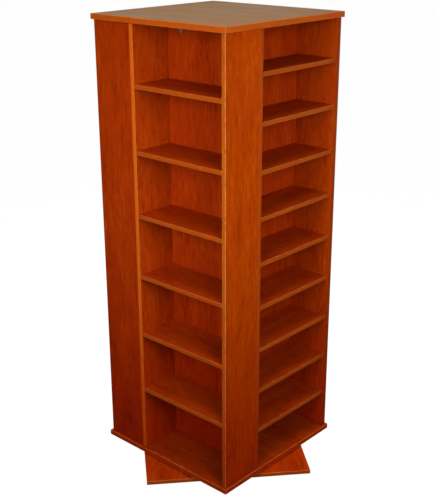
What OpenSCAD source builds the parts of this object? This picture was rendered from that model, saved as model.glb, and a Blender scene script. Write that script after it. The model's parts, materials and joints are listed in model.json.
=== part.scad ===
// Rotating media tower: four faces of shelves, set like a pinwheel round a closed core,
// turning on a ball bearing over a square base board.
// Origin: centre of the base, on the floor. +Z is up. The DVD face looks along -Y and the
// CD face along +X; the base board lies turned under the tower.

/* [Tower] */
// Side of the square that the upright boards fill
tower_side = 588; // [540:1:720]
// Height of the upright boards
upright_h = 1568; // [1000:1:1900]
// Thickness of the uprights, the shelves and the base board
board_t = 15; // [14:0.5:22]
// Thickness of the top and bottom boards
end_t = 19; // [15:0.5:28]
// Depth of the front and rear rows, from their front edges to the board behind them
front_depth = 162; // [150:1:200]
// Depth of the right and left rows, measured the same way
side_depth = 171; // [150:1:200]
// How far the top board stands out past the uprights
top_over = 8; // [0:1:30]
// How far the bottom board stands out past the uprights
bottom_over = 8; // [0:1:30]
// Bevel along the edges of the boards
edge_ease = 0.8; // [0.4:0.1:2]

/* [Shelves] */
// Height from the bottom board to the underside of the lowest CD shelf
first_cd_rest = 136; // [130:1:180]
// Height from the bottom board to the underside of the lowest DVD shelf
first_dvd_rest = 237; // [200:1:260]
// Spacing of the holes that the shelf pegs fit
hole_step = 32; // [28:0.5:34]
// Hole steps from one CD shelf to the next
cd_steps = 5; // [4:1:5]
// Hole steps from one DVD shelf to the next
dvd_steps = 7; // [6:1:8]
// Clear height that a compartment for CD cases needs
cd_clear = 127; // [125:1:150]
// Clear height that a compartment for DVD cases needs
dvd_clear = 192; // [190:1:220]
// Free holes above and below each peg
spare_holes = 1; // [0:1:1]
// Gap between a shelf and the boards beside and behind it
shelf_gap = 0.5; // [0.3:0.1:2]

/* [Pegs] */
// Diameter of a shelf peg
peg_d = 5; // [4:0.5:6]
// Length of a peg inside the board
peg_in = 8; // [6:0.5:10]
// Length of the flat tongue that a shelf rests on
tongue_l = 11; // [8:0.5:16]
// Width of the tongue
tongue_w = 9; // [7:0.5:12]
// Thickness of the tongue
tongue_t = 2; // [1.5:0.25:2.5]
// Height of the rib under the tongue, measured from its top
rib_h = 6; // [5:0.5:8]
// Thickness of the rib
rib_t = 2; // [1:0.25:3]
// Distance of a peg from the front of its shelf or the board behind it
peg_inset = 37; // [25:1:50]

/* [Fasteners] */
// Distance of the first screw of a joint from the end of the upright
joint_end = 70; // [60:1:120]
// Screws, or dowels, in one upright joint
joint_count = 4; // [3:1:6]
// Shank diameter of a carcass screw
carcass_shank_d = 7; // [6:0.5:8]
// Thread diameter of a carcass screw
carcass_thread_d = 5; // [4:0.5:5.5]
// Head diameter of a carcass screw
carcass_head_d = 10; // [9:0.5:11]
// Length of a carcass screw
carcass_len = 45; // [35:1:50]
// Width across the flats of the hexagon socket
socket_af = 4; // [3:0.5:5]
// Depth of the hexagon socket
socket_deep = 3; // [2:0.5:4]
// Diameter of a cover cap
cap_d = 12; // [11.5:0.5:14]
// Thickness of a cover cap
cap_t = 1.5; // [1:0.25:2]
// Diameter of a dowel
dowel_d = 8; // [6:0.5:9]
// Length of a dowel
dowel_len = 34; // [28:1:40]
// Part of a dowel that sits in the face of a board
dowel_in_face = 10; // [8:0.5:12]
// Distance of the end fixings from the ends of a board
fix_inset = 45; // [42:1:55]
// Diameter of a cam
cam_d = 15; // [14:0.5:16]
// Thickness of a cam
cam_t = 12; // [12:0.25:13.5]
// Distance of a cam's centre below the top of the upright
cam_drop = 34; // [30:1:40]
// Distance of a cam from the side of its compartment
cam_inset = 60; // [50:1:100]
// Thread diameter of a cam bolt
cam_thread_d = 7; // [6:0.5:8]
// Thread length of a cam bolt
cam_thread_l = 11; // [9:0.5:12]
// Head diameter of a cam bolt
cam_head_d = 6.5; // [6:0.25:7]
// Neck diameter of a cam bolt
cam_neck_d = 4; // [3:0.25:5]
// Diameter of a bottom screw
bottom_screw_d = 4.5; // [4:0.5:5]
// Head diameter of a bottom screw
bottom_head_d = 9; // [8:0.5:10]
// Length of a bottom screw
bottom_screw_len = 50; // [45:1:60]
// Play between a fastener and its hole, all round
fit_clear = 0.05; // [0.02:0.01:0.1]

/* [Base] */
// Side of the base board
base_side = 600; // [540:1:700]
// How far the base board is turned from the tower
base_turn = -41; // [-45:1:45]
// Height of a floor glide
glide_h = 2; // [2:0.5:8]
// Diameter of a floor glide
glide_d = 24; // [18:1:40]
// Distance of a glide's centre from the edges of the base board
glide_inset = 45; // [30:1:80]
// Diameter of a glide's nail
nail_d = 3; // [2:0.5:4]
// Length of a glide's nail
nail_l = 10; // [8:0.5:12]

/* [Bearing] */
// Side of the bearing's square plates
plate_side = 305; // [270:1:340]
// Thickness of the bearing's plates
plate_t = 2; // [1.5:0.1:2.5]
// Corner radius of the bearing's plates
plate_r = 14; // [6:1:20]
// Radius of the ring that the balls roll on
race_r = 110; // [90:1:120]
// Diameter of a ball
ball_d = 5; // [4.5:0.25:6]
// Number of balls
ball_count = 24; // [12:1:36]
// Depth of the groove that the balls roll in
groove_deep = 0.6; // [0.4:0.05:0.8]
// Running clearance between a ball and a groove
run_clear = 0.05; // [0.02:0.01:0.1]
// Width of the cage that keeps the balls apart
cage_w = 12; // [9:0.5:16]
// Thickness of the cage
cage_t = 1.2; // [0.8:0.1:2]
// Play of a ball in its pocket of the cage
pocket_clear = 0.15; // [0.1:0.05:0.4]
// Outer radius of the collar that ties the two plates together
collar_r = 40; // [30:1:60]
// Wall of the collar
collar_t = 1.5; // [1:0.25:3]
// How far the collar's rolled lip reaches under the lower plate
lip_reach = 5; // [3:0.5:8]
// Clearance between the collar and the lower plate
collar_clear = 0.5; // [0.3:0.1:1]
// Depth that is left free under the lip
lip_room = 1; // [0.5:0.25:2]
// Distance of a screw hole from the edges of its plate
plate_hole_inset = 12; // [9:0.5:20]
// Diameter of a bearing screw
bearing_screw_d = 4; // [3:0.5:4.5]
// Head diameter of a bearing screw
bearing_head_d = 7.5; // [7:0.25:9]
// Head height of a bearing screw
bearing_head_h = 1.8; // [1.2:0.1:1.9]
// Length of a bearing screw under its head
bearing_screw_len = 14; // [10:0.5:16]
// Diameter of the hole in the base board that a screwdriver reaches through
access_d = 22; // [14:1:30]

/* [Hidden] */
$fn = 48;
eps = 0.01;                        // overlap that keeps a cut from ending on a face
FACE_NAMES = ["front", "right", "rear", "left"];
FACE_COUNT = 4;
FACES = [0:FACE_COUNT - 1];
CD_FACE = 1;
quarter = 90;
cherry = [0.62, 0.24, 0.08];
cherry_dark = [0.48, 0.15, 0.05];
steel = [0.72, 0.73, 0.75];
zinc = [0.60, 0.61, 0.62];
beech = [0.80, 0.66, 0.46];
nylon = [0.16, 0.14, 0.13];

half = tower_side / 2;
bearing_h = 2 * plate_t + ball_d - 2 * groove_deep + 2 * run_clear;
base_top = glide_h + board_t;
tower_z = base_top + bearing_h;                      // underside of the bottom board
floor_z = tower_z + end_t;                           // top of the bottom board
ceiling_z = floor_z + upright_h;                     // underside of the top board
ball_z = base_top + bearing_h / 2;
plate_hole = plate_side / 2 - plate_hole_inset;
lip_r = collar_r + lip_reach;
recess_deep = collar_clear + collar_t + lip_room;
shelf_depth = min(front_depth, side_depth) - shelf_gap;    // one shelf depth fits every row

bore_spare = 0.5;                  // depth of a blind hole past what it holds
peg_hole_deep = peg_in + bore_spare;
dowel_in_edge = dowel_len - dowel_in_face;
dowel_bevel = 1;
screw_slot = [1, 0.8];                               // width and depth of a bearing screw's slot
carcass_cone = (carcass_head_d - carcass_shank_d) / 2;
bottom_cone = (bottom_head_d - bottom_screw_d) / 2;
cam_hole_deep = cam_t + bore_spare;
cam_bolt_head = 3;                                   // height of a cam bolt's head
cam_cross = [8, 1.6, 1.5];                           // length, width and depth of a cam's cross slot
channel_play = 1;                                    // what a cam bolt's channel is wider than its head

joint_heights = [for (i = [0:joint_count - 1])
    floor_z + joint_end + i * (upright_h - 2 * joint_end) / (joint_count - 1)];

// Each face has its own frame, in which it looks along -Y. Places in plan are given there.
function next_face(face) = (face + 1) % FACE_COUNT;
function last_face(face) = (face + FACE_COUNT - 1) % FACE_COUNT;
function row_depth(face) = face % 2 == 0 ? front_depth : side_depth;
// Front of the board behind a face's compartments
function back_y(face) = -half + row_depth(face);
// Left side of a face's compartments
function inner_x(face) = -half + row_depth(last_face(face)) + board_t;
// Front of a face's shelves, which stand back in the deeper rows
function shelf_y(face) = back_y(face) - shelf_gap - shelf_depth;
// Places where the uprights are fixed from their ends
function side_fixings(face) =
    [for (y = [-half + fix_inset, back_y(face) - fix_inset]) [half - board_t / 2, y]];
function divider_fixing(face) = [(inner_x(face) + half) / 2, back_y(face) + board_t / 2];
function upright_fixings(face) = concat(side_fixings(face), [divider_fixing(face)]);
function cam_places(face) =
    [for (x = [inner_x(face) + cam_inset, half - board_t - cam_inset])
        [x, back_y(face) + board_t / 2]];

function first_rest(face) = face == CD_FACE ? first_cd_rest : first_dvd_rest;
function steps_between(face) = face == CD_FACE ? cd_steps : dvd_steps;
function clear_height(face) = face == CD_FACE ? cd_clear : dvd_clear;
// Height of a face's shelf above the bottom board; shelf 1 is the lowest.
function shelf_height(face, shelf) =
    first_rest(face) + hole_step * steps_between(face) * (shelf - 1);
// As many shelves as leave the top compartment its clear height
function shelf_count(face) =
    1 + floor((upright_h - clear_height(face) - board_t - shelf_height(face, 1))
        / (hole_step * steps_between(face)));
function rest_z(face, shelf) = floor_z + shelf_height(face, shelf);
function shelf_names(face) =
    [for (i = [1:shelf_count(face)]) str(FACE_NAMES[face], "_shelf_", i)];

// ---- shapes ----

// A rectangle whose corners are bevelled.
module eased_rect(w, h) {
    e = edge_ease;
    polygon([[e, 0], [w - e, 0], [w, e], [w, h - e], [w - e, h], [e, h], [0, h - e], [0, e]]);
}

// A board with its low corner at the origin and all its edges bevelled.
module board(size) {
    intersection() {
        linear_extrude(size[2]) eased_rect(size[0], size[1]);
        translate([0, size[1], 0]) rotate([90, 0, 0])
            linear_extrude(size[1]) eased_rect(size[0], size[2]);
        rotate([90, 0, 90]) linear_extrude(size[0]) eased_rect(size[1], size[2]);
    }
}

module square_board(side, t) {
    translate([-side / 2, -side / 2, 0]) board([side, side, t]);
}

// A round hole for something of diameter d, from its mouth down along -Z.
module hole(d, deep) {
    translate([0, 0, -deep]) cylinder(r = d / 2 + fit_clear, h = deep + eps);
}

module on_face(face) {
    rotate([0, 0, quarter * face]) children();
}

// Four places at the corners of a square, with half side h.
module at_corners(h) {
    for (x = [-h, h], y = [-h, h]) translate([x, y, 0]) children();
}

// ---- shelf pegs ----

// Heights of a face's peg holes, those beside each peg included.
function hole_heights(face) =
    [for (i = [1:shelf_count(face)], s = [-spare_holes:spare_holes])
        rest_z(face, i) - peg_d / 2 + s * hole_step];

function peg_ys(face) = [shelf_y(face) + peg_inset, back_y(face) - peg_inset];

module peg_holes(face, face_x, turn) {
    for (z = hole_heights(face), y = peg_ys(face))
        translate([face_x, y, z]) rotate([0, turn, 0]) hole(peg_d, peg_hole_deep);
}

// A peg that points along -X into the board, with its tongue along +X. The origin is on the
// board's face at the height of the shelf's underside.
module shelf_peg() {
    translate([0, 0, -peg_d / 2]) rotate([0, -90, 0]) cylinder(d = peg_d, h = peg_in);
    translate([0, -tongue_w / 2, -tongue_t]) cube([tongue_l, tongue_w, tongue_t]);
    translate([0, rib_t / 2, 0]) rotate([90, 0, 0])
        linear_extrude(rib_t) polygon([[0, 0], [tongue_l, 0], [tongue_l, -tongue_t], [0, -rib_h]]);
}

module shelf_pegs(face) {
    color(steel) on_face(face)
        for (i = [1:shelf_count(face)], y = peg_ys(face)) {
            translate([inner_x(face), y, rest_z(face, i)]) shelf_peg();
            translate([half - board_t, y, rest_z(face, i)]) mirror([1, 0, 0]) shelf_peg();
        }
}

// ---- fasteners ----

// Carcass screw with its tip towards -Z and the top of its head at the origin.
module carcass_screw() {
    shank_end = board_t - cap_t;
    difference() {
        rotate_extrude()
            polygon([[0, 0], [carcass_head_d / 2, 0], [carcass_shank_d / 2, -carcass_cone],
                     [carcass_shank_d / 2, -shank_end], [carcass_thread_d / 2, -shank_end],
                     [carcass_thread_d / 2, carcass_thread_d / 2 - carcass_len],
                     [0, -carcass_len]]);
        translate([0, 0, -socket_deep])
            cylinder(d = socket_af / cos(30), h = socket_deep + eps, $fn = 6);
    }
}

// The hole for a carcass screw through the first board, its mouth at the origin.
module carcass_hole() {
    c = fit_clear;
    hole(cap_d, cap_t);
    translate([0, 0, -cap_t]) rotate_extrude()
        polygon([[0, eps], [carcass_head_d / 2 + c, eps], [carcass_head_d / 2 + c, 0],
                 [carcass_shank_d / 2 + c, -carcass_cone], [carcass_shank_d / 2 + c, -board_t],
                 [0, -board_t]]);
}

// Puts children where a back board is joined, at distance x from the middle, with +Z out of
// its rear face.
module at_joint(face, x) {
    for (z = joint_heights)
        translate([x, back_y(face) + board_t, z]) rotate([-90, 0, 0]) children();
}

// The joint between a face's side board and its back board
module at_carcass_joint(face) {
    at_joint(face, half - board_t / 2) children();
}

// The joint between a face's back board and the next one
module at_corner_joint(face) {
    at_joint(face, half - row_depth(next_face(face)) - board_t / 2) children();
}

module carcass_screws() {
    color(zinc) for (face = FACES) on_face(face) at_carcass_joint(face)
        translate([0, 0, -cap_t]) carcass_screw();
}

module screw_caps() {
    color(cherry_dark) for (face = FACES) on_face(face) at_carcass_joint(face)
        translate([0, 0, -cap_t]) cylinder(d = cap_d, h = cap_t);
}

// Dowel along Z, with the part for the face of a board above the origin.
module dowel() {
    r = dowel_d / 2;
    b = dowel_bevel;
    translate([0, 0, -dowel_in_edge]) rotate_extrude()
        polygon([[0, 0], [r - b, 0], [r, b], [r, dowel_len - b], [r - b, dowel_len], [0, dowel_len]]);
}

module corner_dowels() {
    color(beech) for (face = FACES) on_face(face) at_corner_joint(face)
        rotate([180, 0, 0]) dowel();
}

module top_dowels() {
    color(beech) for (face = FACES) on_face(face)
        for (p = upright_fixings(face)) translate([p[0], p[1], ceiling_z]) dowel();
}

// Cam bolt with its thread above the origin and its head at the cam's centre.
module cam_bolt() {
    head_top = -cam_drop + cam_bolt_head / 2;
    rotate_extrude()
        polygon([[0, cam_thread_l], [cam_thread_d / 2, cam_thread_l], [cam_thread_d / 2, 0],
                 [cam_neck_d / 2, 0], [cam_neck_d / 2, head_top], [cam_head_d / 2, head_top],
                 [cam_head_d / 2, head_top - cam_bolt_head], [0, head_top - cam_bolt_head]]);
}

module cam_bolts() {
    color(steel) for (face = FACES) on_face(face)
        for (p = cam_places(face)) translate([p[0], p[1], ceiling_z]) cam_bolt();
}

// The channel that a cam bolt's head needs, from the top of the upright down past the cam.
module cam_bolt_channel() {
    hole(cam_head_d + channel_play, cam_drop + cam_d / 2);
}

// Cam in a face's back board, with its slotted side in the compartment.
module cam(face, p) {
    difference() {
        translate([p[0], back_y(face), ceiling_z - cam_drop]) rotate([-90, 0, 0])
            cylinder(d = cam_d, h = cam_t);
        translate([p[0], p[1], ceiling_z]) cam_bolt_channel();
        for (turn = [0, 90])
            translate([p[0], back_y(face), ceiling_z - cam_drop]) rotate([0, turn, 0])
                cube([cam_cross[0], 2 * cam_cross[2], cam_cross[1]], center = true);
    }
}

module cams() {
    color(zinc) for (face = FACES) on_face(face)
        for (p = cam_places(face)) cam(face, p);
}

// Countersunk screw with the top of its head at the origin and its tip towards +Z.
module bottom_screw() {
    rotate_extrude()
        polygon([[0, 0], [bottom_head_d / 2, 0], [bottom_screw_d / 2, bottom_cone],
                 [bottom_screw_d / 2, bottom_screw_len - bottom_screw_d / 2],
                 [0, bottom_screw_len]]);
}

module bottom_screw_hole(deep) {
    c = fit_clear;
    rotate_extrude()
        polygon([[0, -eps], [bottom_head_d / 2 + c, -eps], [bottom_head_d / 2 + c, 0],
                 [bottom_screw_d / 2 + c, bottom_cone], [bottom_screw_d / 2 + c, deep], [0, deep]]);
}

module bottom_screws() {
    color(zinc) for (face = FACES) on_face(face)
        for (p = upright_fixings(face)) translate([p[0], p[1], tower_z]) bottom_screw();
}

// ---- boards ----

// Holes that the ends of an upright need at the given places.
module end_holes(places) {
    for (p = places) {
        translate([p[0], p[1], ceiling_z]) hole(dowel_d, dowel_in_edge);
        translate([p[0], p[1], tower_z]) bottom_screw_hole(bottom_screw_len + eps);
    }
}

// Upright on the right of a compartment; its wide face is the tower's outside.
module side_board(face) {
    color(cherry) on_face(face) difference() {
        translate([half - board_t, -half, floor_z])
            board([board_t, row_depth(face), upright_h]);
        peg_holes(face, half - board_t, -90);
        end_holes(side_fixings(face));
        at_carcass_joint(face) hole(carcass_thread_d, carcass_len + cap_t);
    }
}

// Upright behind a compartment; it also closes the left of the next face's compartment.
module back_board(face) {
    color(cherry) on_face(face) difference() {
        translate([inner_x(face), back_y(face), floor_z])
            board([half - inner_x(face), board_t, upright_h]);
        on_face(1) peg_holes(next_face(face), inner_x(next_face(face)), 90);
        end_holes([divider_fixing(face)]);
        at_carcass_joint(face) carcass_hole();
        at_corner_joint(face) hole(dowel_d, dowel_in_face);
        on_face(-1) at_corner_joint(last_face(face)) rotate([180, 0, 0])
            hole(dowel_d, dowel_in_edge);
        for (p = cam_places(face)) {
            translate([p[0], p[1], ceiling_z]) cam_bolt_channel();
            translate([p[0], back_y(face), ceiling_z - cam_drop]) rotate([90, 0, 0])
                hole(cam_d, cam_hole_deep);
        }
    }
}

module shelf(face, i) {
    width = half - board_t - inner_x(face);
    color(cherry) on_face(face)
        translate([inner_x(face) + shelf_gap, shelf_y(face), rest_z(face, i)])
            board([width - 2 * shelf_gap, shelf_depth, board_t]);
}

module top_board() {
    color(cherry) difference() {
        translate([0, 0, ceiling_z]) square_board(tower_side + 2 * top_over, end_t);
        for (face = FACES) on_face(face) {
            for (p = upright_fixings(face))
                translate([p[0], p[1], ceiling_z]) rotate([180, 0, 0]) hole(dowel_d, dowel_in_face);
            for (p = cam_places(face))
                translate([p[0], p[1], ceiling_z]) rotate([180, 0, 0])
                    hole(cam_thread_d, cam_thread_l);
        }
    }
}

module bottom_board() {
    color(cherry) difference() {
        translate([0, 0, tower_z]) square_board(tower_side + 2 * bottom_over, end_t);
        for (face = FACES) on_face(face) for (p = upright_fixings(face))
            translate([p[0], p[1], tower_z]) bottom_screw_hole(end_t + eps);
        translate([0, 0, tower_z - plate_t]) rotate([180, 0, 0]) at_corners(plate_hole)
            hole(bearing_screw_d, bearing_screw_len);
    }
}

// ---- base and bearing ----

module on_base() {
    rotate([0, 0, base_turn]) children();
}

module at_glides() {
    at_corners(base_side / 2 - glide_inset) children();
    children();
}

module base_board() {
    color(cherry) on_base() difference() {
        translate([0, 0, glide_h]) square_board(base_side, board_t);
        translate([0, 0, base_top]) hole(2 * (lip_r + collar_clear), recess_deep);
        translate([0, 0, base_top + plate_t]) at_corners(plate_hole)
            hole(bearing_screw_d, bearing_screw_len);
        translate([sqrt(2) * plate_hole, 0, base_top]) hole(access_d, board_t + eps);
        translate([0, 0, glide_h]) rotate([180, 0, 0]) at_glides() hole(nail_d, nail_l);
    }
}

module base_glides() {
    color(nylon) on_base() at_glides() {
        rotate_extrude()
            polygon([[0, 0], [glide_d / 2 - glide_h / 2, 0], [glide_d / 2, glide_h / 2],
                     [glide_d / 2, glide_h], [0, glide_h]]);
        translate([0, 0, glide_h - eps]) cylinder(d = nail_d, h = nail_l + eps);
    }
}

module plate_outline() {
    inner = plate_side - 2 * plate_r;
    square([inner, plate_side], center = true);
    square([plate_side, inner], center = true);
    for (x = [-inner / 2, inner / 2], y = [-inner / 2, inner / 2])
        translate([x, y]) circle(r = plate_r);
}

// A bearing plate with its screw holes, race groove and central hole, its low face at z.
module bearing_plate(z, hole_r) {
    difference() {
        translate([0, 0, z]) linear_extrude(plate_t) plate_outline();
        translate([0, 0, z - eps]) cylinder(r = hole_r, h = plate_t + 2 * eps);
        translate([0, 0, z + plate_t]) at_corners(plate_hole) hole(bearing_screw_d, plate_t + eps);
        translate([0, 0, ball_z]) rotate_extrude()
            translate([race_r, 0]) circle(d = ball_d + 2 * run_clear);
    }
}

module bearing_lower_plate() {
    color(steel) on_base() bearing_plate(base_top, collar_r + collar_clear);
}

// The upper plate's centre is drawn down into a collar, rolled outwards under the lower plate.
module bearing_upper_plate() {
    lip_top = base_top - collar_clear;
    color(steel) {
        bearing_plate(tower_z - plate_t, collar_r - collar_t);
        rotate_extrude()
            polygon([[collar_r - collar_t, lip_top - collar_t], [lip_r, lip_top - collar_t],
                     [lip_r, lip_top], [collar_r, lip_top], [collar_r, tower_z - plate_t + eps],
                     [collar_r - collar_t, tower_z - plate_t + eps]]);
    }
}

module at_balls() {
    for (i = [0:ball_count - 1]) rotate([0, 0, i * 360 / ball_count])
        translate([race_r, 0, ball_z]) children();
}

module bearing_balls() {
    color(steel) at_balls() sphere(d = ball_d);
}

module bearing_cage() {
    color(nylon) difference() {
        translate([0, 0, ball_z - cage_t / 2]) cylinder(r = race_r + cage_w / 2, h = cage_t);
        translate([0, 0, ball_z - cage_t]) cylinder(r = race_r - cage_w / 2, h = 2 * cage_t);
        at_balls() cylinder(r = ball_d / 2 + pocket_clear, h = 2 * cage_t, center = true);
    }
}

// Pan-head screw with its tip towards -Z; the underside of its head is at the origin.
module bearing_screw() {
    difference() {
        rotate_extrude()
            polygon([[0, bearing_head_h], [bearing_head_d / 2 - bearing_head_h / 2, bearing_head_h],
                     [bearing_head_d / 2, bearing_head_h / 2], [bearing_head_d / 2, 0],
                     [bearing_screw_d / 2, 0],
                     [bearing_screw_d / 2, bearing_screw_d / 2 - bearing_screw_len],
                     [0, -bearing_screw_len]]);
        translate([0, 0, bearing_head_h])
            cube([bearing_head_d, screw_slot[0], 2 * screw_slot[1]], center = true);
    }
}

module base_bearing_screws() {
    color(zinc) on_base() translate([0, 0, base_top + plate_t]) at_corners(plate_hole)
        bearing_screw();
}

module tower_bearing_screws() {
    color(zinc) translate([0, 0, tower_z - plate_t]) rotate([180, 0, 0]) at_corners(plate_hole)
        bearing_screw();
}

base_board();
base_glides();
bearing_lower_plate();
bearing_upper_plate();
bearing_balls();
bearing_cage();
base_bearing_screws();
tower_bearing_screws();
bottom_board();
top_board();
for (face = FACES) {
    side_board(face);
    back_board(face);
    shelf_pegs(face);
    for (i = [1:shelf_count(face)])
        shelf(face, i);
}
carcass_screws();
screw_caps();
corner_dowels();
top_dowels();
cam_bolts();
cams();
bottom_screws();
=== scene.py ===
import json
import math

import bmesh
import bpy
from mathutils import Matrix, Vector


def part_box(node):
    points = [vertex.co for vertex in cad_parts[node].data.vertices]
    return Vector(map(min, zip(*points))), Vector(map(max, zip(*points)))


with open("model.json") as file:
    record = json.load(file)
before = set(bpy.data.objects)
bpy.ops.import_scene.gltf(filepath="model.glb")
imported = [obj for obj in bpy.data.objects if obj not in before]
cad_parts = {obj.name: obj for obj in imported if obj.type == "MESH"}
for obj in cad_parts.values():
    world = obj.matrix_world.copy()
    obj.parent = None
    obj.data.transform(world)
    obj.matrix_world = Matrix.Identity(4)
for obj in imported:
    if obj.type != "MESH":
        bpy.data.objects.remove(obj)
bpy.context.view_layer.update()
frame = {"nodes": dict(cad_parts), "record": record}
nodes = frame["nodes"]
scene = bpy.context.scene
print("frame loaded:", len(nodes), "nodes")

# camera, aimed at a point inside the tower

cameraSetup = {
    "azimuth": 42.31,         # degrees round the tower, 0 in front of the DVD face
    "elevation": 20.02,       # degrees above the horizon
    "roll": -0.20,
    "distance": 3.3706,
    "target": (-0.0042, -0.0038, 0.7930),
    "focalLength": 922.2,     # in pixels of a frame 495 high
    "frameHeight": 495,
}


def makeCamera(setup):
    azimuth = math.radians(setup["azimuth"])
    elevation = math.radians(setup["elevation"])
    roll = math.radians(setup["roll"])
    back = Vector((math.sin(azimuth) * math.cos(elevation),
                   -math.cos(azimuth) * math.cos(elevation),
                   math.sin(elevation)))
    right = Vector((0, 0, 1)).cross(back).normalized()
    up = back.cross(right)
    turnedRight = right * math.cos(roll) + up * math.sin(roll)
    turnedUp = up * math.cos(roll) - right * math.sin(roll)
    place = Matrix.Identity(4)
    for column, axis in enumerate((turnedRight, turnedUp, back)):
        for row in range(3):
            place[row][column] = axis[row]
    place.translation = Vector(setup["target"]) + back * setup["distance"]
    data = bpy.data.cameras.new("camera")
    data.sensor_fit = "VERTICAL"
    data.sensor_height = 24.0
    data.lens = setup["focalLength"] / setup["frameHeight"] * data.sensor_height
    camera = bpy.data.objects.new("camera", data)
    camera.matrix_world = place
    scene.collection.objects.link(camera)
    scene.camera = camera


makeCamera(cameraSetup)
print("camera ready")


# small helpers for node trees

def fill(tree, node, name, value):
    if isinstance(value, bpy.types.NodeSocket):
        tree.links.new(value, node.inputs[name])
    else:
        node.inputs[name].default_value = value


def addNode(tree, kind, inputs=None, **settings):
    node = tree.nodes.new(kind)
    for name, value in settings.items():
        setattr(node, name, value)
    for name, value in (inputs or {}).items():
        fill(tree, node, name, value)
    return node


def calc(tree, operation, *values):
    return addNode(tree, "ShaderNodeMath", dict(enumerate(values)), operation=operation).outputs[0]


def vectorCalc(tree, operation, *values):
    node = addNode(tree, "ShaderNodeVectorMath", dict(enumerate(values)), operation=operation)
    return node.outputs[0]


def remap(tree, value, low, high, newLow=0.0, newHigh=1.0):
    inputs = {"Value": value, "From Min": low, "From Max": high,
              "To Min": newLow, "To Max": newHigh}
    return addNode(tree, "ShaderNodeMapRange", inputs, interpolation_type="SMOOTHSTEP").outputs[0]


def mixColor(tree, factor, first, second, mode="MIX"):
    node = addNode(tree, "ShaderNodeMix", data_type="RGBA", blend_type=mode)
    for name, value in ((0, factor), (6, first), (7, second)):
        fill(tree, node, name, value)
    return node.outputs[2]


def mixVector(tree, factor, first, second):
    node = addNode(tree, "ShaderNodeMix", data_type="VECTOR")
    for name, value in ((0, factor), (4, first), (5, second)):
        fill(tree, node, name, value)
    return node.outputs[1]


def noise(tree, vector, spread, detail=4.0, roughness=0.55):
    stretched = vectorCalc(tree, "MULTIPLY", vector, spread)
    inputs = {"Vector": stretched, "Scale": 1.0, "Detail": detail, "Roughness": roughness}
    return addNode(tree, "ShaderNodeTexNoise", inputs).outputs["Fac"]


def newGroup(name, inputs, outputs):
    group = bpy.data.node_groups.new(name, "ShaderNodeTree")
    for label, kind, value in inputs:
        socket = group.interface.new_socket(label, in_out="INPUT", socket_type="NodeSocket" + kind)
        if value is not None:
            socket.default_value = value
    for label, kind in outputs:
        group.interface.new_socket(label, in_out="OUTPUT", socket_type="NodeSocket" + kind)
    given = group.nodes.new("NodeGroupInput").outputs
    result = group.nodes.new("NodeGroupOutput")
    return group, given, result


def placeGroup(tree, group, inputs):
    return addNode(tree, "ShaderNodeGroup", inputs, node_tree=group).outputs


def newMaterial(name, shader):
    material = bpy.data.materials.new(name)
    material.use_nodes = True
    tree = material.node_tree
    tree.nodes.clear()
    principled = addNode(tree, "ShaderNodeBsdfPrincipled", shader)
    addNode(tree, "ShaderNodeOutputMaterial", {"Surface": principled.outputs[0]})
    place = addNode(tree, "ShaderNodeTexCoord").outputs["Object"]
    return material, tree, principled, place


def dress(node, material):
    nodes[node].data.materials.clear()
    nodes[node].data.materials.append(material)


# shared effects, each a group that is placed in the materials with their own values

edgeSetup = {
    "bandReach": 0.0007,      # how deep the banding of an edge goes, in metres
    "wearAndHighlightReach": 0.0026,      # how far the wear of a corner and its painted highlight go
    "wobble": (90, 90, 90),   # how finely the wear comes and goes, per metre
    "seamPlace": 0.0009,      # the glue line, measured from the edge
    "seamWidth": (0.0001, 0.0003),
}


def makeBoardEdges(setup):
    # The vector is centred on the board, with its thickness along Y and its grain along Z.
    group, given, result = newGroup(
        "boardEdges",
        [("Vector", "Vector", None), ("Half Size", "Vector", (0.1, 0.01, 0.1)),
         ("Band Reach", "Float", setup["bandReach"]),
         ("Wear Reach", "Float", setup["wearAndHighlightReach"])],
        [("Long Band", "Float"), ("End Band", "Float"), ("Wear And Highlight", "Float"), ("Seam", "Float")])
    depth = vectorCalc(group, "SUBTRACT", given["Half Size"],
                       vectorCalc(group, "ABSOLUTE", given["Vector"]))
    parts = addNode(group, "ShaderNodeSeparateXYZ", {0: depth}).outputs
    across, thick, along = parts[0], parts[1], parts[2]
    longBand = calc(group, "LESS_THAN", across, given["Band Reach"])
    endBand = calc(group, "LESS_THAN", along, given["Band Reach"])
    # The middle one of the three depths is the distance to the nearest edge.
    nearest = calc(group, "MAXIMUM", calc(group, "MINIMUM", across, thick),
                   calc(group, "MINIMUM", calc(group, "MAXIMUM", across, thick), along))
    # The wear mask also places the painted highlights along the arrises.
    wobble = noise(group, given["Vector"], setup["wobble"], 3.0)
    reach = calc(group, "MULTIPLY", given["Wear Reach"],
                 remap(group, wobble, 0.3, 0.7, 0.35, 1.15))
    wearAndHighlight = remap(group, calc(group, "DIVIDE", nearest, reach), 0.25, 1.0, 1.0, 0.0)
    side = calc(group, "MINIMUM", across, along)
    offSeam = calc(group, "ABSOLUTE", calc(group, "SUBTRACT", side, setup["seamPlace"]))
    seam = remap(group, offSeam, *setup["seamWidth"], 1.0, 0.0)
    for name, value in (("Long Band", longBand), ("End Band", endBand), ("Wear And Highlight", wearAndHighlight),
                        ("Seam", seam)):
        fill(group, result, name, value)
    return group


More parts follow.
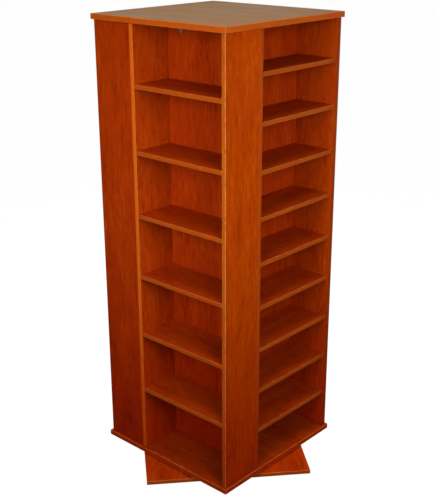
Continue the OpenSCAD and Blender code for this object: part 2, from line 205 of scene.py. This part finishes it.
grainSetup = {
    # how finely each layer varies per metre across, through and along the grain, its detail
    # and its roughness
    "layers": {
        "sway": ((2.5, 2.5, 1.1), 2.0, 0.55),
        "cloud": ((15, 15, 5.0), 3.0, 0.55),
        "blotch": ((95, 95, 24.0), 4.0, 0.65),
        "broad": ((26, 26, 1.1), 3.0, 0.55),
        "streak": ((190, 190, 7.0), 4.0, 0.6),
        "fine": ((520, 520, 12.0), 3.0, 0.6),
        "pores": ((1500, 1500, 55.0), 2.0, 0.5),
    },
    "shares": {"cloud": 0.22, "blotch": 0.36, "broad": 0.20, "streak": 0.22},
    "swayReach": (0.03, 0.02),      # how far the sway moves the streaks, in metres
    "deepToMain": (0.38, 0.51),     # levels of the figure where the colours change
    "mainToLight": (0.50, 0.62),
    "poreLevels": (0.60, 0.72),
    "poreShare": 0.55,
    "fineShare": 0.22,
    "roughness": (0.27, 0.36),
    "fineRoughness": 0.07,
    "seedStep": (1.37, 0.61, 2.13),
}


def makeCherryGrain(setup):
    # Grain runs along Z of the vector, which is in metres.
    group, given, result = newGroup(
        "cherryGrain",
        [("Vector", "Vector", None), ("Seed", "Float", 0.0),
         ("Deep", "Color", (0.2, 0.02, 0.002, 1)), ("Main", "Color", (0.35, 0.045, 0.005, 1)),
         ("Light", "Color", (0.5, 0.09, 0.01, 1)), ("Fleck", "Color", (0.1, 0.01, 0.001, 1))],
        [("Color", "Color"), ("Roughness", "Float"), ("Height", "Float")])
    shift = addNode(group, "ShaderNodeCombineXYZ", {
        axis: calc(group, "MULTIPLY", given["Seed"], step)
        for axis, step in enumerate(setup["seedStep"])}).outputs[0]
    start = vectorCalc(group, "ADD", given["Vector"], shift)
    layers = setup["layers"]
    # A slow sway bends the streaks, as in a printed cherry veneer.
    sway = noise(group, start, *layers["sway"])
    swayX, swayY = setup["swayReach"]
    bent = vectorCalc(group, "ADD", start, addNode(group, "ShaderNodeCombineXYZ", {
        0: remap(group, sway, 0.2, 0.8, -swayX, swayX),
        1: remap(group, sway, 0.2, 0.8, swayY, -swayY)}).outputs[0])
    cloud = noise(group, start, *layers["cloud"])
    blotch, broad, streak, fine, pores = (
        noise(group, bent, *layers[name])
        for name in ("blotch", "broad", "streak", "fine", "pores"))
    shares = setup["shares"]
    figure = calc(group, "ADD",
                  calc(group, "ADD", calc(group, "MULTIPLY", cloud, shares["cloud"]),
                       calc(group, "MULTIPLY", blotch, shares["blotch"])),
                  calc(group, "ADD", calc(group, "MULTIPLY", broad, shares["broad"]),
                       calc(group, "MULTIPLY", streak, shares["streak"])))
    color = mixColor(group, remap(group, figure, *setup["deepToMain"]),
                     given["Deep"], given["Main"])
    color = mixColor(group, remap(group, figure, *setup["mainToLight"]), color, given["Light"])
    # The pores thin out where a streak is light.
    tick = calc(group, "MULTIPLY", remap(group, pores, *setup["poreLevels"]),
                remap(group, streak, 0.35, 0.6, 1.0, 0.25))
    color = mixColor(group, calc(group, "MULTIPLY", tick, setup["poreShare"]),
                     color, given["Fleck"])
    fineLight = calc(group, "MULTIPLY", remap(group, fine, 0.35, 0.7), setup["fineShare"])
    color = mixColor(group, fineLight, color, given["Light"])
    rough = calc(group, "ADD", remap(group, cloud, 0.3, 0.7, *setup["roughness"]),
                 calc(group, "MULTIPLY", remap(group, fine, 0.3, 0.7), setup["fineRoughness"]))
    height = calc(group, "SUBTRACT", calc(group, "MULTIPLY", fine, 0.5), tick)
    for name, value in (("Color", color), ("Roughness", rough), ("Height", height)):
        fill(group, result, name, value)
    return group


speckSetup = {
    "drift": ((35, 35, 35), 4.0),       # how finely it varies per metre, and its detail
    "scratch": ((40, 900, 900), 2.0),
    "driftRoughness": 0.06,
    "scratchRoughness": 0.08,
}


def makeSurfaceSpeck(setup):
    # Even grain, scuffs and colour drift for plastics and metals.
    group, given, result = newGroup(
        "surfaceSpeck",
        [("Vector", "Vector", None), ("Color", "Color", (0.5, 0.5, 0.5, 1)),
         ("Drift", "Float", 0.2), ("Grain", "Float", 900.0), ("Rough", "Float", 0.4)],
        [("Color", "Color"), ("Roughness", "Float"), ("Height", "Float")])
    drift = noise(group, given["Vector"], *setup["drift"])
    grain = addNode(group, "ShaderNodeTexNoise", {
        "Vector": given["Vector"], "Scale": given["Grain"], "Detail": 2.0}).outputs["Fac"]
    scratch = noise(group, given["Vector"], *setup["scratch"])
    dark = mixColor(group, given["Drift"], given["Color"], (0, 0, 0, 1))
    color = mixColor(group, remap(group, drift, 0.3, 0.7), dark, given["Color"])
    wander = setup["driftRoughness"]
    rough = calc(group, "ADD", given["Rough"], calc(
        group, "ADD", remap(group, drift, 0.3, 0.7, -wander, wander),
        remap(group, scratch, 0.55, 0.75, 0.0, setup["scratchRoughness"])))
    height = calc(group, "ADD", calc(group, "MULTIPLY", grain, 0.6),
                  calc(group, "MULTIPLY", scratch, 0.4))
    for name, value in (("Color", color), ("Roughness", rough), ("Height", height)):
        fill(group, result, name, value)
    return group


boardEdges = makeBoardEdges(edgeSetup)
cherryGrain = makeCherryGrain(grainSetup)
surfaceSpeck = makeSurfaceSpeck(speckSetup)
print("shared effects ready")

# boards: cherry laminate on the wide faces, a lighter band on the edges

cherryFinish = {
    "deep": (0.225, 0.0145, 0.0006, 1),
    "main": (0.345, 0.0290, 0.0012, 1),
    "light": (0.430, 0.0470, 0.0022, 1),
    "fleck": (0.130, 0.0070, 0.0005, 1),
    "bandDeep": (0.48, 0.074, 0.0045, 1),
    "bandMain": (0.55, 0.096, 0.0065, 1),
    "bandLight": (0.62, 0.125, 0.0100, 1),
    # worn corners: partly real wear, partly painted highlights along the arrises
    "wornAndHighlight": (0.68, 0.19, 0.035, 1),
    # the dark of the glue line, also used for the painted shadow at the uprights' joints
    "seam": (0.07, 0.006, 0.0010, 1),
    # painted shade: makes the uprights a darker, deeper red towards the floor
    "lowPaintedShade": (0.95, 0.52, 0.45, 1),
}


def toned(color, tone):
    return tuple(channel * factor for channel, factor in zip(color, tone)) + (1,)


boardSides = {"base_board": 0.600}      # sides of the boards that stand turned

boardDetails = {
    "specularLevel": 0.003,
    "bandSeed": 5.3,          # what the grain of the edges is moved on by
    "seamShare": 0.5,
    "wearAndHighlightShare": 0.75,
    "wearRoughness": 0.12,
    "wearAndHighlightFrom": 0.22,         # distance from the tower's middle where side boards begin to wear and get painted arris highlights
    "paintedShadeHeight": 0.9,        # below this height the uprights get a painted shade, a deeper red
    "jointShadow": (0.004, 0.001),
    "jointShare": 0.6,
    "bumpStrength": 0.35,
    "bumpDistance": 0.00012,
}

# a pale sheen, which shows where a board is seen at a low angle
boardSheens = {
    "top_board": {"Sheen Weight": 0.2, "Sheen Roughness": 0.3,
                  "Sheen Tint": (0.84, 0.94, 0.40, 1)},
}

# how much each board, or each face's boards, differ from the finish: wide faces, then edges; some
# of them paint light and shade, as marked
boardTonesWithPaintedLight = {
    "front": ((1.0, 1.0, 1.0), (0.70, 0.62, 0.62)),
    "right": ((1.0, 1.0, 1.0), (0.67, 0.64, 0.70)),
    "rear": ((1.0, 1.0, 1.0), (0.85, 0.85, 0.85)),
    "left": ((1.0, 1.0, 1.0), (0.85, 0.85, 0.85)),
    # partly painted light: a lighter wide face on the right face's outer panel
    "front_side_board": ((1.14, 1.50, 0.4), (0.78, 0.92, 0.95)),
    # painted light: the inner walls of these two boards are lifted
    "right_side_board": ((1.15, 1.40, 1.20), (0.54, 0.41, 0.30)),
    "left_back_board": ((1.15, 1.40, 1.20), (1.10, 1.18, 1.15)),
    "front_back_board": ((1.0, 1.0, 1.0), (0.68, 0.56, 0.55)),
    # painted shade: the top's wide face is darker, standing in for dim light on it
    "top": ((0.62, 0.80, 1.0), (0.85, 0.80, 0.66)),
    "bottom": ((0.9, 0.9, 0.9), (0.72, 0.34, 0.30)),
    "base": ((1.28, 1.2, 1.0), (0.75, 0.60, 0.60)),
}

# the same for the worn corners, where they differ from the edges: lighter painted highlights on
# the near side board, the bottom board and the base board, and a dark line along the right side
# board's outer arris
wearAndHighlightTones = {
    "front_side_board": (1.15, 1.38, 1.50),
    "right_side_board": (0.26, 0.13, 0.10),
    "left_back_board": (0.92, 0.65, 0.50),
    "front_back_board": (0.66, 0.40, 0.30),
    "bottom_board": (1.10, 0.85, 0.85),
    "base_board": (1.18, 1.20, 1.35),
}


def placeOnBoard(tree, place, node, thinAxis, grainAxis, turn):
    # Gives a vector centred on the board, with Y along its thickness and Z along its grain.
    low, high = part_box(node)
    axes = {"x": Vector((1, 0, 0)), "y": Vector((0, 1, 0)), "z": Vector((0, 0, 1))}
    thin, grain = axes[thinAxis], axes[grainAxis]
    across = thin.cross(grain)
    spin = Matrix.Rotation(math.radians(turn), 3, "Z")
    basis = spin @ Matrix((across, thin, grain)).transposed()
    if turn:
        side = boardSides[node]
        size = Vector((side, side, high.z - low.z))
    else:
        size = high - low
    half = Vector((abs(across.dot(size)), abs(thin.dot(size)), abs(grain.dot(size)))) / 2
    local = addNode(tree, "ShaderNodeMapping", {
        "Vector": place, "Location": (low + high) / 2, "Rotation": basis.to_euler()},
        vector_type="TEXTURE").outputs[0]
    return local, half


def layGrain(tree, vector, seed, shades, tone):
    deep, main, light, fleck = (toned(shade, tone) for shade in shades)
    return placeGroup(tree, cherryGrain, {
        "Vector": vector, "Seed": seed, "Deep": deep, "Main": main, "Light": light,
        "Fleck": fleck})


# Paints shade on an upright: darker towards the floor, and a thin shadow at its joints.
def paintShadeOnUpright(tree, color, place, alongGrain, halfHeight):
    finish, details = cherryFinish, boardDetails
    # Painted shade: the uprights turn a darker, deeper red towards the floor.
    height = addNode(tree, "ShaderNodeSeparateXYZ", {0: place}).outputs[2]
    lowness = remap(tree, height, 0.0, details["paintedShadeHeight"], 1.0, 0.0)
    color = mixColor(tree, lowness, color, finish["lowPaintedShade"], "MULTIPLY")
    # A thin painted shadow, in the glue line's dark colour, marks the joint with the board above
    # or below.
    start, end = (halfHeight - reach for reach in details["jointShadow"])
    nearEnd = remap(tree, calc(tree, "ABSOLUTE", alongGrain), start, end)
    return mixColor(tree, calc(tree, "MULTIPLY", nearEnd, details["jointShare"]),
                    color, finish["seam"])


def makeBoardMaterial(node, thinAxis, grainAxis, turn, seed):
    finish, details = cherryFinish, boardDetails
    panelTone, bandTone = boardTonesWithPaintedLight.get(node, boardTonesWithPaintedLight[node.split("_")[0]])
    material, tree, principled, place = newMaterial("cherry." + node, {
        "Specular IOR Level": details["specularLevel"], **boardSheens.get(node, {})})
    local, half = placeOnBoard(tree, place, node, thinAxis, grainAxis, turn)
    edges = placeGroup(tree, boardEdges, {"Vector": local, "Half Size": half})
    # On the end bands the grain runs across the board.
    parts = addNode(tree, "ShaderNodeSeparateXYZ", {0: local}).outputs
    swapped = addNode(tree, "ShaderNodeCombineXYZ", {
        0: parts[2], 1: parts[1], 2: parts[0]}).outputs[0]
    along = mixVector(tree, edges["End Band"], local, swapped)
    panel = layGrain(tree, along, seed, (
        finish["deep"], finish["main"], finish["light"], finish["fleck"]), panelTone)
    band = layGrain(tree, along, seed + details["bandSeed"], (
        finish["bandDeep"], finish["bandMain"], finish["bandLight"], finish["deep"]), bandTone)
    onBand = calc(tree, "MAXIMUM", edges["Long Band"], edges["End Band"])
    color = mixColor(tree, onBand, panel["Color"], band["Color"])
    color = mixColor(tree, calc(tree, "MULTIPLY", edges["Seam"], details["seamShare"]),
                     color, finish["seam"])
    wearAndHighlight = edges["Wear And Highlight"]
    if node.endswith("_side_board"):
        # The rear edge of a side board lies against the board behind it and gets no wear and no
        # painted highlight.
        reaches = addNode(tree, "ShaderNodeSeparateXYZ", {
            0: vectorCalc(tree, "ABSOLUTE", place)}).outputs
        outward = reaches[1] if thinAxis == "x" else reaches[0]
        wearAndHighlight = calc(tree, "MULTIPLY", wearAndHighlight,
                    calc(tree, "GREATER_THAN", outward, details["wearAndHighlightFrom"]))
    # Worn corners: partly real wear, partly painted highlights along the arrises.
    color = mixColor(tree, calc(tree, "MULTIPLY", wearAndHighlight, details["wearAndHighlightShare"]), color,
                     toned(finish["wornAndHighlight"], wearAndHighlightTones.get(node, bandTone)))
    if grainAxis == "z":
        color = paintShadeOnUpright(tree, color, place, parts[2], half.z)
    rough = calc(tree, "ADD", panel["Roughness"],
                 calc(tree, "MULTIPLY", wearAndHighlight, details["wearRoughness"]))
    bump = addNode(tree, "ShaderNodeBump", {
        "Strength": details["bumpStrength"], "Distance": details["bumpDistance"],
        "Height": panel["Height"]}).outputs[0]
    fill(tree, principled, "Base Color", color)
    fill(tree, principled, "Roughness", rough)
    fill(tree, principled, "Normal", bump)
    return material


faceNames = ("front", "right", "rear", "left")
seed = 1.0
for index, face in enumerate(faceNames):
    wideAxis, deepAxis = ("x", "y") if index % 2 == 0 else ("y", "x")
    for name, thinAxis in ((face + "_side_board", wideAxis), (face + "_back_board", deepAxis)):
        dress(name, makeBoardMaterial(name, thinAxis, "z", 0, seed))
        seed += 1
    for name in sorted(nodes):
        if name.startswith(face + "_shelf_") and name != face + "_shelf_pegs":
            dress(name, makeBoardMaterial(name, "z", wideAxis, 0, seed))
            seed += 1
for name, turn, seed in (("top_board", 0, 71.0), ("bottom_board", 0, 74.0),
                         ("base_board", -41, 77.0)):
    dress(name, makeBoardMaterial(name, "z", "x", turn, seed))
print("boards dressed")

# fittings

fittingFinishes = {
    "steel": {"color": (0.50, 0.50, 0.51, 1), "metal": 1.0, "gloss": 0.5, "drift": 0.30,
              "grain": 700.0, "rough": 0.38, "bump": 0.00004},
    "zinc": {"color": (0.27, 0.27, 0.28, 1), "metal": 1.0, "gloss": 0.5, "drift": 0.35,
             "grain": 1300.0, "rough": 0.50, "bump": 0.00004},
    "nylon": {"color": (0.030, 0.026, 0.024, 1), "metal": 0.0, "gloss": 0.3, "drift": 0.25,
              "grain": 1800.0, "rough": 0.52, "bump": 0.00006},
    "cap_plastic": {"color": (0.31, 0.030, 0.002, 1), "metal": 0.0, "gloss": 0.02, "drift": 0.18,
                    "grain": 2400.0, "rough": 0.48, "bump": 0.00003},
}


def makeFittingMaterial(name, finish):
    material, tree, principled, place = newMaterial(
        name, {"Metallic": finish["metal"], "Specular IOR Level": finish["gloss"]})
    speck = placeGroup(tree, surfaceSpeck, {
        "Vector": place, "Color": finish["color"], "Drift": finish["drift"],
        "Grain": finish["grain"], "Rough": finish["rough"]})
    bump = addNode(tree, "ShaderNodeBump", {
        "Strength": 0.4, "Distance": finish["bump"], "Height": speck["Height"]}).outputs[0]
    fill(tree, principled, "Base Color", speck["Color"])
    fill(tree, principled, "Roughness", speck["Roughness"])
    fill(tree, principled, "Normal", bump)
    return material


beechFinish = {
    "deep": (0.50, 0.32, 0.16, 1),
    "main": (0.62, 0.43, 0.24, 1),
    "light": (0.72, 0.54, 0.33, 1),
    "fleck": (0.36, 0.20, 0.09, 1),
}


def makeBeechMaterial(finish):
    material, tree, principled, place = newMaterial("beech", {"Specular IOR Level": 0.3})
    grain = placeGroup(tree, cherryGrain, {
        "Vector": place, "Seed": 40.0, "Deep": finish["deep"], "Main": finish["main"],
        "Light": finish["light"], "Fleck": finish["fleck"]})
    bump = addNode(tree, "ShaderNodeBump", {
        "Strength": 0.4, "Distance": 0.0001, "Height": grain["Height"]}).outputs[0]
    fill(tree, principled, "Base Color", grain["Color"])
    fill(tree, principled, "Roughness", calc(tree, "ADD", grain["Roughness"], 0.3))
    fill(tree, principled, "Normal", bump)
    return material


fittings = {name: makeFittingMaterial(name, finish) for name, finish in fittingFinishes.items()}
fittings["beech"] = makeBeechMaterial(beechFinish)
for part in frame["record"]["subparts"]:
    if part["material_slot"] in fittings:
        dress(part["node"], fittings[part["material_slot"]])
print("fittings dressed")

# floor, light and background

stageSetup = {
    "floorRadius": 30.0,
    "floorColor": (0.10, 0.10, 0.10, 1),
    "floorGlow": 0.98,        # what the floor adds for the camera and for reflections
    "ambient": 0.08,
    "lamps": {
        "key": {"place": (0.5, -2.3, 1.8), "aim": (0, 0, 1.05),
                "size": 1.2, "spread": 80, "power": 8.7},
        "fill": {"place": (2.2, -1.0, 1.8), "aim": (0, 0, 1.0),
                 "size": 1.2, "spread": 80, "power": 9.6},
        "over": {"place": (0.4, -0.4, 3.6), "aim": (0, 0, 1.6),
                 "size": 1.4, "spread": 180, "power": 26.0},
        "rear": {"place": (0.6, 2.4, 1.0), "aim": (0, 0, 0.9),
                 "size": 1.2, "spread": 180, "power": 38.0},
        "left": {"place": (-2.4, 0.6, 1.0), "aim": (0, 0, 0.9),
                 "size": 1.2, "spread": 180, "power": 32.0},
    },
}


def seenDirectly(tree):
    ways = addNode(tree, "ShaderNodeLightPath").outputs
    either = calc(tree, "MAXIMUM", ways["Is Camera Ray"], ways["Is Glossy Ray"])
    return calc(tree, "MAXIMUM", either, ways["Is Transmission Ray"])


def makeFloor(setup):
    shape = bmesh.new()
    bmesh.ops.create_circle(shape, cap_ends=True, radius=setup["floorRadius"], segments=96)
    mesh = bpy.data.meshes.new("floor")
    shape.to_mesh(mesh)
    shape.free()
    floor = bpy.data.objects.new("floor", mesh)
    scene.collection.objects.link(floor)
    material = bpy.data.materials.new("paleFloor")
    material.use_nodes = True
    tree = material.node_tree
    tree.nodes.clear()
    matt = addNode(tree, "ShaderNodeBsdfDiffuse", {"Color": setup["floorColor"]}).outputs[0]
    glow = addNode(tree, "ShaderNodeEmission", {
        "Strength": calc(tree, "MULTIPLY", seenDirectly(tree), setup["floorGlow"])}).outputs[0]
    both = addNode(tree, "ShaderNodeAddShader", {0: matt, 1: glow}).outputs[0]
    addNode(tree, "ShaderNodeOutputMaterial", {"Surface": both})
    mesh.materials.append(material)


def makeLamp(name, setup):
    data = bpy.data.lights.new(name, "AREA")
    data.shape = "SQUARE"
    data.size = setup["size"]
    data.spread = math.radians(setup["spread"])
    data.energy = setup["power"]
    lamp = bpy.data.objects.new(name, data)
    lamp.location = setup["place"]
    aim = Vector(setup["aim"]) - lamp.location
    lamp.rotation_euler = aim.to_track_quat("-Z", "Y").to_euler()
    scene.collection.objects.link(lamp)


def makeWorld(setup):
    world = bpy.data.worlds.new("studio")
    world.use_nodes = True
    tree = world.node_tree
    tree.nodes.clear()
    strength = remap(tree, seenDirectly(tree), 0.0, 1.0, setup["ambient"], 1.0)
    light = addNode(tree, "ShaderNodeBackground", {"Color": (1, 1, 1, 1), "Strength": strength})
    addNode(tree, "ShaderNodeOutputWorld", {"Surface": light.outputs[0]})
    scene.world = world


makeFloor(stageSetup)
for name, lamp in stageSetup["lamps"].items():
    makeLamp(name, lamp)
makeWorld(stageSetup)
scene.view_settings.view_transform = "Standard"
print("stage ready")
